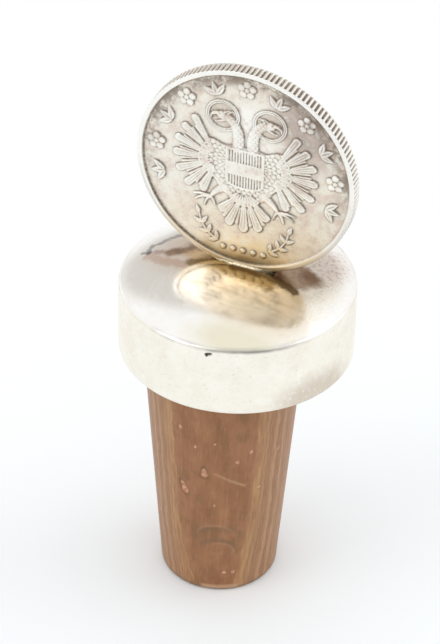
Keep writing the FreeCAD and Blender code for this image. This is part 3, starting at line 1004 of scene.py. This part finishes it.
def make_scratch_group():
    """Hair-fine scratches in three directions: stretched noise, kept only near its middle value."""
    inputs = {"Place": (0, 0, 0), "Scale": 1.0, "Width": 0.02}
    group, wires, source, target = new_group("fine scratches", inputs)
    masks = []
    for turn, stretch in ((0.35, 0.06), (1.3, 0.05), (2.4, 0.08)):
        inputs = {"Vector": source["Place"], "Rotation": (0.2, turn, turn), "Scale": (1, stretch, 1)}
        lines = wires.noise(wires.node("Mapping", inputs).outputs[0], source["Scale"], 1.0, 0.4)
        near = wires.math("ABSOLUTE", wires.minus(lines, 0.5))
        masks.append(wires.step(near, 0.0, source["Width"], 1.0, 0.0))
    broken = wires.step(wires.noise(source["Place"], 0.35), 0.45, 0.62)
    wires.feed(target["Mask"], wires.times(wires.most(*masks), broken))
    return group


def toned_silver(patch, scratches):
    """The coin: bright silver where worn, warm grey toning, dark hollows with painted shade, a painted warm
    reflection of the dome over its lower part and foot, and painted shade on the rim's lower outer edge.
    """
    material, wires = new_material("toned_silver")
    place = wires.place((coin_x, 0, coin_z))

    def area(x, z, wide, tall, softness=0.5, fray=0.5):
        return wires.mask(patch, (place, (x, 0, z), (wide, right_through, tall), softness, fray, 0.5))

    mottle = wires.noise(place, 0.45, 4.0, 0.6)
    tint = wires.noise(place, 0.9, 3.0, 0.6)
    fine = wires.noise(place, 3.0, 3.0, 0.6)
    reach = wires.vector("LENGTH", wires.place((coin_x, 0, coin_z), (1, 0, 1)))
    upright = wires.parts(place)[2]
    # Painted warm reflection of the dome at the coin's foot
    painted_dome_reflection = wires.times(wires.step(reach, 12.0, 13.3), area(-1.2, -13.0, 4.6, 2.4, 0.5, 0.8))
    field = wires.blend(wires.step(mottle, 0.35, 0.65), (0.86, 0.80, 0.695), (0.80, 0.71, 0.61))
    field = wires.layers(field, [
        (area(-8.5, 1.5, 7.0, 8.0), 0.8, (0.88, 0.82, 0.73)),
        (area(0.5, 1.5, 5.5, 8.5), 0.8, (0.93, 0.89, 0.81)),
        (area(-3.1, 7.55, 1.9, 1.9, 0.2, 0.2), 0.6, (0.66, 0.55, 0.45)),
        (area(3.1, 7.55, 1.9, 1.9, 0.2, 0.2), 0.6, (0.66, 0.55, 0.45)),
        (area(8.8, 9.0, 4.6, 5.4), 1.0, (0.50, 0.42, 0.37)),
        # Painted warm reflection of the dome over the coin's lower part
        (area(0.0, -9.5, 11.0, 5.0), 0.6, (0.89, 0.765, 0.59)),
        (area(0.5, -13.5, 6.5, 3.4), 1.0, (0.94, 0.76, 0.51)),
        (area(0.0, 6.5, 1.6, 3.6, 0.5, 0.3), 0.8, (0.97, 0.95, 0.90)),
        (wires.step(tint, 0.48, 0.70), 0.55, (0.72, 0.56, 0.48)),
        (wires.step(tint, 0.46, 0.30), 0.5, (0.88, 0.86, 0.76)),
        (wires.step(fine, 0.54, 0.75), 0.3, (0.42, 0.34, 0.28)),
        (painted_dome_reflection, 0.75, (0.50, 0.375, 0.20)),
    ])
    by_edge = wires.times(wires.step(reach, 13.2, 13.5), area(9.0, -6.5, 8.0, 10.0, 0.4, 0.2))
    # The hollow mark is toning in the recesses and painted shade on the upper right of raised parts
    hollow = wires.times(wires.mark("hollow"), wires.step(by_edge, 0.0, 1.0, 1.0, 0.4))
    by_rim = wires.times(wires.step(reach, 11.2, 13.7), wires.step(reach, 14.0, 13.8))
    by_rim = wires.times(by_rim, wires.step(wires.noise(place, 0.6, 4.0, 0.7), 0.36, 0.56, 0.15, 1.0))
    dark = wires.times(wires.times(by_rim, wires.step(upright, -6.0, 3.0)), 0.8)
    dark = wires.most(dark, wires.times(hollow, wires.step(fine, 0.2, 0.6, 0.5, 0.95)))
    worn_rim = wires.times(wires.step(reach, 13.75, 13.9), wires.minus(0.9, hollow), clamp=True)
    # Worn high places, which also carry painted highlight on their lower left sides; low on the coin their
    # colour is a painted gold reflection of the dome
    worn = wires.most(wires.times(wires.mark("raised"), wires.step(mottle, 0.25, 0.6, 1.0, 0.6)), worn_rim)
    proud = wires.blend(wires.step(upright, -7.0, -11.5), (0.95, 0.935, 0.89), (0.88, 0.74, 0.53))
    # Painted shade on the rounded outer edge of the rim's lower half
    outer = wires.times(wires.step(reach, 13.9, 14.3), wires.step(upright, 0.0, -6.0))
    colour = wires.layers(field, [
        (dark, 1.0, (0.19, 0.145, 0.11)),
        (worn, 1.0, proud),
        (outer, 0.5, (0.60, 0.53, 0.45)),
    ])
    marks = wires.mask(scratches, (place, 1.6, 0.012))
    rough = wires.plus(wires.step(mottle, 0.3, 0.7, 0.30, 0.42), wires.times(dark, 0.18))
    relief = wires.minus(wires.times(fine, 0.5), wires.times(marks, 0.6))
    wires.coat(colour, rough, wires.bump(relief, 0.02, 0.6), Metallic=1.0)
    return material


def seam_shade(wires, place):
    """How much painted shade lies in the crease where dome and band meet, 0 to 1: uneven, least at both sides
    and most at front right.
    """
    x = wires.parts(place)[0]
    ends = wires.times(wires.step(x, -9.0, -1.0, 0.12, 1.0), wires.step(x, 13.5, 9.0, 0.2, 1.0))
    return wires.times(ends, wires.step(wires.noise(place, 0.3, 3.0), 0.38, 0.58, 0.3, 1.0))


def polished_silver(patch, streak, scratches):
    """The dome: mirror-like silver with faint haze, brown heat stain along the coin, a painted gold
    reflection of the coin before it, and painted shade along the coin's foot and the crease.
    """
    material, wires = new_material("polished_silver")
    place = wires.place((cap_x, 0, crown))
    flat = wires.place((cap_x, 0, 0), (1, 1, 0))

    def area(x, y, wide, tall, softness, fray, scale=0.6):
        return wires.mask(patch, (place, (x, y, 0), (wide, tall, right_through), softness, fray, scale))

    def line(points, width, fray, scale=0.9):
        pairs = zip(points, points[1:])
        masks = [wires.mask(streak, (flat, (*a, 0), (*b, 0), width, fray, scale)) for a, b in pairs]
        return wires.most(*masks)

    # Painted streaky brown reflection of the coin, in front of it
    painted_reflection_streaks = wires.noise(wires.place((cap_x, 0, crown), (0.2, 1.6, 1.0), (0, 0, 0.3)), 0.9, 4.0, 0.65)
    painted_reflection_streaks = wires.times(wires.step(painted_reflection_streaks, 0.48, 0.68), area(3.4, -5.2, 7.0, 4.0, 0.4, 0.4))
    tan = line([(-11.6, -1.9), (-9.4, -2.9), (-6.2, -3.3)], 1.1, 1.5, 1.4)
    specks = wires.step(wires.noise(place, 1.9, 3.0, 0.65), 0.50, 0.64)
    specks = wires.times(specks, area(10.2, 3.6, 2.4, 5.2, 0.5, 0.8))
    wedge = wires.most(line([(-8.8, -1.0), (-6.2, 0.1)], 1.3, 0.7, 1.2), area(-4.4, 0.7, 3.2, 2.2, 0.3, 0.6))
    stain = wires.most(area(7.4, 0.5, 3.4, 2.5, 0.2, 0.6), wedge)
    mottle = wires.step(wires.noise(place, 0.8, 4.0, 0.6), 0.35, 0.7)
    brown = wires.blend(mottle, (0.275, 0.17, 0.10), (0.46, 0.325, 0.225))
    # Painted shadow in lines along the front of the coin's foot
    painted_foot_shade = line([(-1.4, -1.9), (1.6, -2.5), (5.0, -2.9)], 1.9, 2.0, 1.4)
    painted_olive_foot_shade = line([(-5.4, -2.5), (-3.8, -2.0), (-1.8, -1.3)], 1.15, 1.0)
    painted_foot_shadow = line([(0.2, -1.7), (2.7, -1.7), (4.8, -1.5), (6.3, -2.0), (8.5, -2.4)], 1.05, 1.3, 1.2)
    ridge = [(-12.6, -1.2), (-12.0, -1.1), (-12.0, 0.5), (-11.2, 0.9), (-10.2, 2.4), (-9.2, 3.2), (-8.0, 2.9)]
    thick = line([(-11.0, 1.3), (-9.6, 3.1), (-8.2, 3.3)], 0.6, 1.0, 1.6)
    # Painted shade along the crease at the dome's edge
    edge = wires.step(wires.vector("LENGTH", flat), cap_radius - 0.75, cap_radius - 0.1)
    edge = wires.times(edge, seam_shade(wires, place))
    cloud = wires.step(wires.noise(place, 0.25, 3.0, 0.55), 0.35, 0.65)
    colour = wires.layers(wires.blend(cloud, (0.985, 0.975, 0.95), (0.965, 0.95, 0.915)), [
        # Painted gold reflection of the coin
        (area(5.5, -6.0, 6.6, 5.6, 0.5, 0.3), 1.0, (0.90, 0.80, 0.625)),
        # Painted shade before the crease at the front
        (area(6.0, -13.2, 6.5, 2.2, 0.5, 0.4), 1.0, (0.85, 0.805, 0.64)),
        (painted_reflection_streaks, 0.42, (0.58, 0.45, 0.27)),
        (tan, 0.55, (0.70, 0.50, 0.40)),
        (area(9.6, 5.2, 3.0, 4.0, 0.5, 1.2, 1.0), 0.6, (0.80, 0.68, 0.60)),
        (area(11.6, 0.2, 1.9, 3.0, 0.5, 1.4, 1.4), 0.35, (0.86, 0.73, 0.52)),
        (specks, 0.5, (0.46, 0.32, 0.24)),
        (stain, 0.92, brown),
        (area(9.4, 1.2, 1.5, 1.1, 0.6, 0.8, 1.2), 0.8, (0.21, 0.12, 0.07)),
        (area(-4.4, -0.9, 2.2, 1.1, 0.6, 0.9, 1.2), 0.95, (0.96, 0.77, 0.50)),
        (painted_foot_shade, 0.9, (0.43, 0.32, 0.15)),
        (painted_olive_foot_shade, 0.85, (0.34, 0.24, 0.10)),
        (painted_foot_shadow, 0.9, (0.16, 0.10, 0.035)),
        (wires.most(line(ridge, 0.45, 0.9, 1.6), wires.times(thick, 0.8)), 0.7, (0.30, 0.31, 0.34)),
        (area(-10.6, -1.0, 1.0, 0.5, 0.6, 1.4, 2.0), 0.5, (0.34, 0.17, 0.14)),
        (area(-11.8, -1.2, 0.32, 0.45, 0.5, 0.8, 2.0), 0.8, (0.20, 0.17, 0.15)),
        (edge, 0.65, (0.40, 0.41, 0.41)),
    ])
    marks = wires.mask(scratches, (place, 0.9, 0.01))
    haze = wires.step(wires.noise(place, 1.3, 3.0), 0.3, 0.7, 0.12, 0.20)
    rough = wires.plus(haze, wires.times(wires.most(stain, painted_foot_shadow, edge), 0.16))
    wires.coat(colour, rough, wires.bump(wires.times(marks, -1.0), 0.008, 0.5), Metallic=1.0)
    return material


def matte_silver(patch, streak, scratches):
    """The band: matte, mottled silver with specks, a brown cast at one side and painted shade along its upper
    seam.
    """
    material, wires = new_material("matte_silver")
    place = wires.place((cap_x, 0, band_foot))
    cloud = wires.noise(place, 0.3, 4.0, 0.6)
    toned = wires.mask(patch, (place, (13.0, -6.5, 0.2), (4.5, 5.5, 3.4), 0.5, 0.8, 0.5))
    specks = wires.step(wires.noise(place, 3.1), 0.66, 0.74)
    specks = wires.times(specks, wires.step(wires.noise(place, 0.5), 0.42, 0.56))
    mealy = wires.noise(place, 1.7, 4.0, 0.75)
    band_height = shoulder - band_foot
    # Painted shade along the crease at the band's top
    seam = wires.step(wires.parts(place)[2], band_height - 0.5, band_height - 0.05)
    pit = wires.mask(streak, (place, (1.95, -15.0, 8.96), (2.5, -14.88, 9.2), 0.32, 0.7, 1.8))
    silver = wires.blend(wires.step(cloud, 0.35, 0.65), (0.95, 0.905, 0.81), (0.92, 0.86, 0.76))
    colour = wires.layers(silver, [
        (toned, 0.75, (0.62, 0.52, 0.42)),
        (specks, 0.55, (0.5, 0.41, 0.33)),
        (wires.step(mealy, 0.52, 0.72), 0.28, (0.72, 0.64, 0.54)),
        (wires.step(mealy, 0.48, 0.28), 0.5, (0.99, 0.97, 0.93)),
        (wires.times(seam, seam_shade(wires, place)), 0.65, (0.38, 0.38, 0.38)),
        (pit, 0.95, (0.03, 0.028, 0.025)),
    ])
    marks = wires.mask(scratches, (place, 1.2, 0.014))
    relief = wires.minus(wires.times(wires.noise(place, 9.0), 0.4), wires.times(marks, 0.7))
    wires.coat(colour, wires.step(cloud, 0.3, 0.7, 0.34, 0.46), wires.bump(relief, 0.012, 0.7), Metallic=1.0)
    return material


# Wood: where its growth bands centre at the plug's foot, that line's lean and bend, and the first band shown
pith_foot = (4.4, -13.65)
pith_lean = 0.01
pith_spread = 0.9
first_band = 8.1


def plug_wood():
    """Brown wood cut so that its growth bands stand upright at the sides and leave the front's middle plain.

    A place's band number is its distance from a slightly leaning line before the plug, less an S curve of its
    height, plus a slow warp. Bands show where the number is past the first band's.
    """
    material, wires = new_material("plug_wood")
    x, y, z = wires.parts(wires.place((*pith_foot, 0)))
    slow = wires.place(stretch=(1.0, 1.0, 0.2))
    across = wires.plus(x, wires.times(z, pith_lean))
    square = wires.plus(wires.times(across, across), wires.times(y, y))
    spread = wires.step(z, -2.0, 13.0, 0.0, pith_spread)
    ripple = wires.noise(wires.place(stretch=(1.0, 1.0, 0.45)), 0.8, 3.0, 0.55)
    warp = wires.times(wires.minus(wires.noise(slow, 0.22, 3.0, 0.5), 0.5), 1.7)
    warp = wires.plus(warp, wires.times(wires.minus(ripple, 0.5), 0.9))
    band = wires.plus(wires.minus(wires.math("SQRT", square), spread), warp)

    def bell(past_first, inner, outer):
        gap = wires.math("ABSOLUTE", wires.minus(band, first_band + past_first))
        return wires.times(wires.step(gap, inner, outer, 1.0, 0.0), broken)

    def rings(scale, detail, roughness):
        inputs = {"W": band, "Scale": scale, "Detail": detail, "Roughness": roughness}
        return wires.node("TexNoise", inputs, noise_dimensions="1D").outputs[0]

    def in_bands(value, low, high):
        return wires.times(banded, wires.step(value, low, high))

    coarse = rings(1.3, 2.0, 0.6)
    fine = rings(3.6, 3.0, 0.7)
    fibre = wires.noise(wires.place(stretch=(1.0, 1.0, 0.05)), 5.0, 3.0, 0.6)
    broken = wires.step(wires.noise(slow, 0.6, 3.0, 0.6), 0.38, 0.6, 0.25, 1.0)
    cloud = wires.step(wires.noise(slow, 0.5, 3.0, 0.6), 0.3, 0.7)
    blotch = wires.noise(wires.place(stretch=(1.0, 1.0, 0.7)), 0.45, 4.0, 0.65)
    banded = wires.step(band, first_band - 0.5, first_band + 0.5)
    # Dull marks, and painted shade along the foot's lower edge
    worn = wires.times(wires.mark("dull"), wires.step(ripple, 0.38, 0.6, 0.6, 1.0))
    speckle = wires.step(wires.noise(wires.place(), 2.6), 0.4, 0.65)
    colour = wires.layers(wires.blend(cloud, (0.262, 0.112, 0.044), (0.33, 0.148, 0.065)), [
        (wires.step(blotch, 0.50, 0.68), 0.6, (0.20, 0.10, 0.035)),
        (wires.step(blotch, 0.46, 0.30), 0.35, (0.42, 0.20, 0.095)),
        (banded, 0.65, (0.385, 0.205, 0.103)),
        (in_bands(coarse, 0.50, 0.30), 0.5, (0.24, 0.115, 0.052)),
        (in_bands(coarse, 0.52, 0.70), 0.45, (0.50, 0.29, 0.155)),
        (in_bands(fine, 0.54, 0.70), 0.35, (0.53, 0.31, 0.17)),
        (in_bands(fine, 0.46, 0.30), 0.4, (0.20, 0.09, 0.04)),
        (bell(0.1, 0.0, 1.3), 0.75, (0.47, 0.265, 0.115)),
        (bell(-0.55, 0.03, 0.14), 0.7, (0.48, 0.27, 0.13)),
        (bell(0.45, 0.03, 0.16), 0.5, (0.20, 0.09, 0.035)),
        (wires.step(fibre, 0.52, 0.75), 0.35, (0.18, 0.085, 0.04)),
        (wires.step(fibre, 0.46, 0.30), 0.2, (0.50, 0.27, 0.14)),
        (worn, 0.7, (0.16, 0.10, 0.05)),
        (wires.mark("rubbed"), 0.7, (0.56, 0.34, 0.20)),
        (wires.mark("pit_rim_shade"), 0.75, (0.10, 0.045, 0.022)),
        (wires.mark("pit_pale"), 0.9, wires.blend(speckle, (0.70, 0.38, 0.24), (0.40, 0.18, 0.10))),
    ])
    relief = wires.plus(wires.times(fibre, 0.6), wires.times(fine, 0.3))
    rough = wires.step(fibre, 0.3, 0.7, 0.40, 0.52)
    wires.coat(colour, rough, wires.bump(relief, 0.03, 0.5), **{"Specular IOR Level": 0.35})
    return material


def solder_metal():
    """Bright solder with greenish grey residue, most of it at the lump."""
    material, wires = new_material("solder")
    place = wires.place((solder_high[0], 0, crown))
    residue = wires.step(wires.noise(place, 1.4, 3.0), 0.4, 0.65)
    near_lump = wires.step(wires.vector("LENGTH", place), 4.0, 1.0)
    mask = wires.most(wires.times(residue, 0.6), near_lump)
    colour = wires.blend(mask, (0.80, 0.68, 0.48), (0.30, 0.29, 0.20))
    rough = wires.step(residue, 0.0, 1.0, 0.2, 0.42)
    wires.coat(colour, rough, wires.bump(wires.noise(place, 3.0, 3.0), 0.05, 0.6), Metallic=1.0)
    return material


def satin_metal(name, colour, stain_colour, roughness, scratches):
    """Satin metal with darker clouds and fine scratches, for the base plate and the screw."""
    material, wires = new_material(name)
    place = wires.place()
    cloud = wires.noise(place, 0.5, 4.0, 0.6)
    marks = wires.mask(scratches, (place, 1.5, 0.014))
    stained = wires.blend(wires.step(cloud, 0.4, 0.7), colour, stain_colour)
    rough = wires.step(cloud, 0.3, 0.7, roughness - 0.05, roughness + 0.07)
    wires.coat(stained, rough, wires.bump(wires.times(marks, -1.0), 0.01, 0.6), Metallic=1.0)
    return material


# Surroundings, with the camera in degrees and millimetres, fitted to the photograph
# It is turned from -Y towards +X, looks down by its drop and is rolled
camera_turn = 21.79
camera_drop = 37.06
camera_roll = 1.291
camera_distance = 430.0
camera_target = (-0.277, -0.806, 39.582)
camera_lens = 187.63
world_light = 0.955
floor_gap = 0.02
floor_radius = 3000.0
floor_corners = 96

# The object's middle in metres, which the lamps look at
lamp_target = (0, 0, 0.04)


def aim(azimuth, elevation):
    """A direction from degrees around from +X and above level."""
    a, e = math.radians(azimuth), math.radians(elevation)
    return (math.cos(e) * math.cos(a), math.cos(e) * math.sin(a), math.sin(e))


def make_floor():
    """A large pale disc under the object. Far from it, it is as white as the surroundings."""
    angle = around(floor_corners)
    rim = floor_radius * np.stack([np.cos(angle), np.sin(angle), 0 * angle], -1)
    mesh = bpy.data.meshes.new("floor")
    points = (np.vstack([rim, [(0, 0, 0)]]) - (0, 0, floor_gap)) * MM
    mesh.from_pydata(points.tolist(), [], fan_faces(np.arange(floor_corners), floor_corners).tolist())
    material, wires = new_material("floor_white")
    depth = wires.parts(wires.place(turn=(0, 0, math.radians(-camera_turn))))[1]
    reach = wires.vector("LENGTH", wires.place())
    paper = wires.node("BsdfDiffuse", {"Color": (0.945, 0.98, 1.0)})
    glow = wires.node("Emission", {"Color": (1, 1, 1), "Strength": 1.0})
    paths = wires.node("LightPath").outputs
    seen = wires.most(paths["Is Camera Ray"], paths["Is Glossy Ray"])
    far = wires.most(wires.step(depth, -10.0, 160.0), wires.step(reach, 150.0, 500.0))
    inputs = {0: wires.times(seen, far), 1: paper.outputs[0], 2: glow.outputs[0]}
    wires.finish(wires.node("MixShader", inputs))
    mesh.materials.append(material)
    floor = bpy.data.objects.new("floor", mesh)
    bpy.context.scene.collection.objects.link(floor)


def make_world():
    """White surroundings for what is seen and mirrored, a little dimmer as light.

    Mirrored, they have a warm grey area behind the object on its left, browner in its middle, and a dark one
    on the side that the object is looked at from.
    """
    world = bpy.data.worlds.new("studio")
    bpy.context.scene.world = world
    world.use_nodes = True
    world.node_tree.nodes.clear()
    wires = Wiring(world.node_tree)
    direction = wires.node("TexCoord").outputs["Generated"]

    def area(azimuth, elevation, inner, outer):
        near = wires.vector("DOT_PRODUCT", direction, aim(azimuth, elevation))
        return wires.step(near, math.cos(math.radians(outer)), math.cos(math.radians(inner)))

    mirrored_colour = wires.blend(area(115, 36, 27, 34), (1, 1, 1), (0.68, 0.655, 0.62))
    mirrored_colour = wires.blend(area(118, 28, 2, 20), mirrored_colour, (0.58, 0.49, 0.42))
    mirrored_colour = wires.blend(area(-60, 24, 6, 36), mirrored_colour, (0.22, 0.21, 0.20))
    paths = wires.node("LightPath").outputs
    colour = wires.blend(paths["Is Glossy Ray"], (1, 1, 1), mirrored_colour)
    seen = wires.most(paths["Is Camera Ray"], paths["Is Glossy Ray"])
    strength = wires.step(seen, 0.0, 1.0, world_light, 1.0)
    sky = wires.node("Background", {"Color": colour, "Strength": strength})
    wires.node("OutputWorld", {"Surface": sky.outputs[0]})


def add_lamp(name, azimuth, elevation, distance, size, power):
    """A soft square lamp that looks at the object's middle, from a direction and a distance in metres."""
    direction = Vector(aim(azimuth, elevation))
    lamp = bpy.data.lights.new(name, "AREA")
    lamp.size = size
    lamp.energy = power
    place = bpy.data.objects.new(name, lamp)
    place.location = Vector(lamp_target) + direction * distance
    place.rotation_euler = direction.to_track_quat("Z", "Y").to_euler()
    bpy.context.scene.collection.objects.link(place)


def make_camera():
    turn, drop, roll = (math.radians(a) for a in (camera_turn, camera_drop, camera_roll))
    forward = Vector((-math.sin(turn) * math.cos(drop), math.cos(turn) * math.cos(drop), -math.sin(drop)))
    level = Vector((math.cos(turn), math.sin(turn), 0))
    upright = level.cross(forward)
    right = math.cos(roll) * level + math.sin(roll) * upright
    up = math.cos(roll) * upright - math.sin(roll) * level
    place = (Vector(camera_target) - forward * camera_distance) * MM
    camera = bpy.data.cameras.new("camera")
    camera.lens = camera_lens
    camera.sensor_width = 36.0
    camera.clip_start = 0.01
    holder = bpy.data.objects.new("camera", camera)
    holder.matrix_world = Matrix.Translation(place) @ Matrix((right, up, -forward)).transposed().to_4x4()
    bpy.context.scene.collection.objects.link(holder)
    bpy.context.scene.camera = holder


def main():
    make_camera()
    patch = make_patch_group()
    streak = make_streak_group()
    scratches = make_scratch_group()
    make_coin(toned_silver(patch, scratches))
    make_dome(polished_silver(patch, streak, scratches))
    make_band(matte_silver(patch, streak, scratches))
    make_plug(plug_wood())
    make_solder(solder_metal())
    kept = {
        "base_plate": satin_metal("plate_silver", (0.80, 0.78, 0.74), (0.52, 0.46, 0.38), 0.38, scratches),
        "fixing_screw": satin_metal("screw_steel", (0.62, 0.61, 0.60), (0.45, 0.42, 0.40), 0.34, scratches),
    }
    for node, material in kept.items():
        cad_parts[node].data.materials.clear()
        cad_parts[node].data.materials.append(material)
    make_floor()
    make_world()
    add_lamp("key", -132, 48, 0.8, 0.36, 0.62)
    add_lamp("fill", 25, 40, 0.9, 0.6, 0.9)
    bpy.context.scene.view_settings.view_transform = "Standard"


main()
